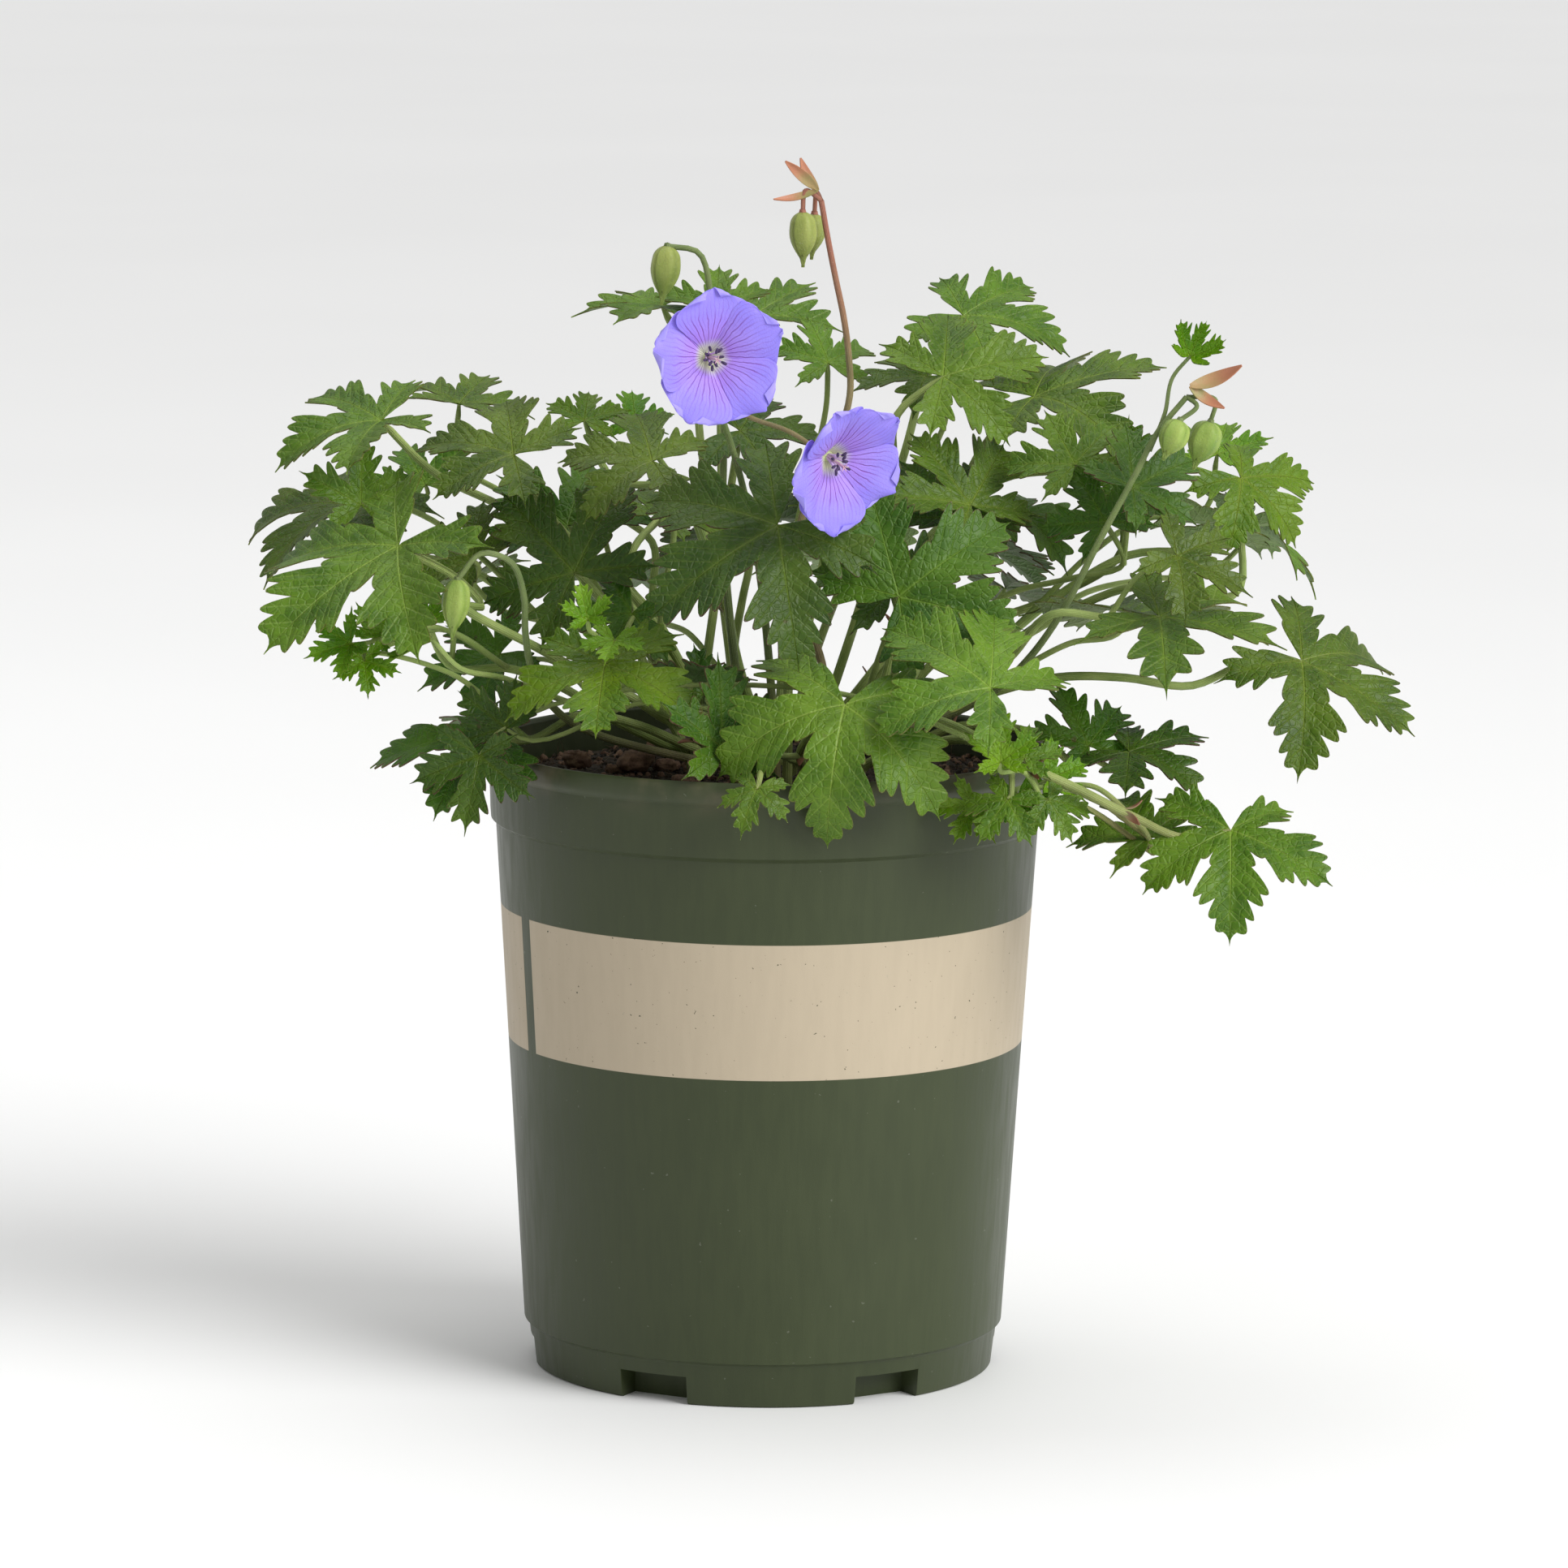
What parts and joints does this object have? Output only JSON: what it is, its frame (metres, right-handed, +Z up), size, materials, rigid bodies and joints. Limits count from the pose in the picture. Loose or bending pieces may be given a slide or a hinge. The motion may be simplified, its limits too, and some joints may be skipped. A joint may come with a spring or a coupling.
{
  "type": "potted hardy geranium",
  "caption": "Hardy geranium in flower in a round nursery pot: lobed toothed leaves on long stems, violet blue saucer blooms and nodding buds.",
  "frame": {"origin": "centre of the pot's flat underside", "axes": "+Z up along the pot's axis, -Y towards the side with the open flowers, +X to the viewer's right"},
  "size_m": [0.3519, 0.2341, 0.3647],
  "materials": {
    "petal": "violet blue petal",
    "stamen": "dark purple anther",
    "bract": "reddish bract",
    "flower_stalk": "hairy yellow green stalk",
    "leaf_old": "dark green leaf",
    "leaf_mature": "soft mid green leaf",
    "leaf_young": "fresh bright green leaf",
    "pot": "satin olive green moulded plastic with a bare beige band",
    "potting_mix": "dark peat and bark mix"
  },
  "bodies": {
    "root": {"bloom_front_petals": "petal", "bloom_front_stamens": "stamen", "bloom_side_petals": "petal", "bloom_side_stamens": "stamen", "bract_right": "bract", "bract_top": "bract", "flower_stalk_front": "flower_stalk", "flower_stalk_left_low": "flower_stalk", "flower_stalk_left_top": "flower_stalk", "flower_stalk_right": "flower_stalk", "flower_stalk_tall": "flower_stalk", "leafy_stem_back_1": "leaf_old", "leafy_stem_back_2": "leaf_mature", "leafy_stem_back_3": "leaf_old", "leafy_stem_back_4": "leaf_mature", "leafy_stem_back_row": "leaf_young", "leafy_stem_centre": "leaf_old", "leafy_stem_centre_right": "leaf_old", "leafy_stem_front_left": "leaf_young", "leafy_stem_front_low": "leaf_old", "leafy_stem_front_right": "leaf_mature", "leafy_stem_front_rim": "leaf_mature", "leafy_stem_left_bud": "leaf_young", "leafy_stem_left_dark": "leaf_old", "leafy_stem_left_end": "leaf_mature", "leafy_stem_left_far": "leaf_mature", "leafy_stem_left_mid": "leaf_mature", "leafy_stem_left_rim": "leaf_old", "leafy_stem_left_top": "leaf_mature", "leafy_stem_mid": "leaf_old", "leafy_stem_mid_left": "leaf_mature", "leafy_stem_right_dark": "leaf_old", "leafy_stem_right_grey": "leaf_old", "leafy_stem_right_high": "leaf_mature", "leafy_stem_right_low": "leaf_mature", "leafy_stem_right_mid": "leaf_mature", "leafy_stem_right_rim": "leaf_old", "leafy_stem_right_tip": "leaf_young", "leafy_stem_right_top": "leaf_mature", "leafy_stem_right_under": "leaf_mature", "leafy_stem_top_left": "leaf_mature", "leafy_stem_top_mid": "leaf_mature", "pot": "pot", "potting_mix": "potting_mix", "runner": "leaf_mature", "trailing_stem": "leaf_mature"}
  },
  "joints": []
}
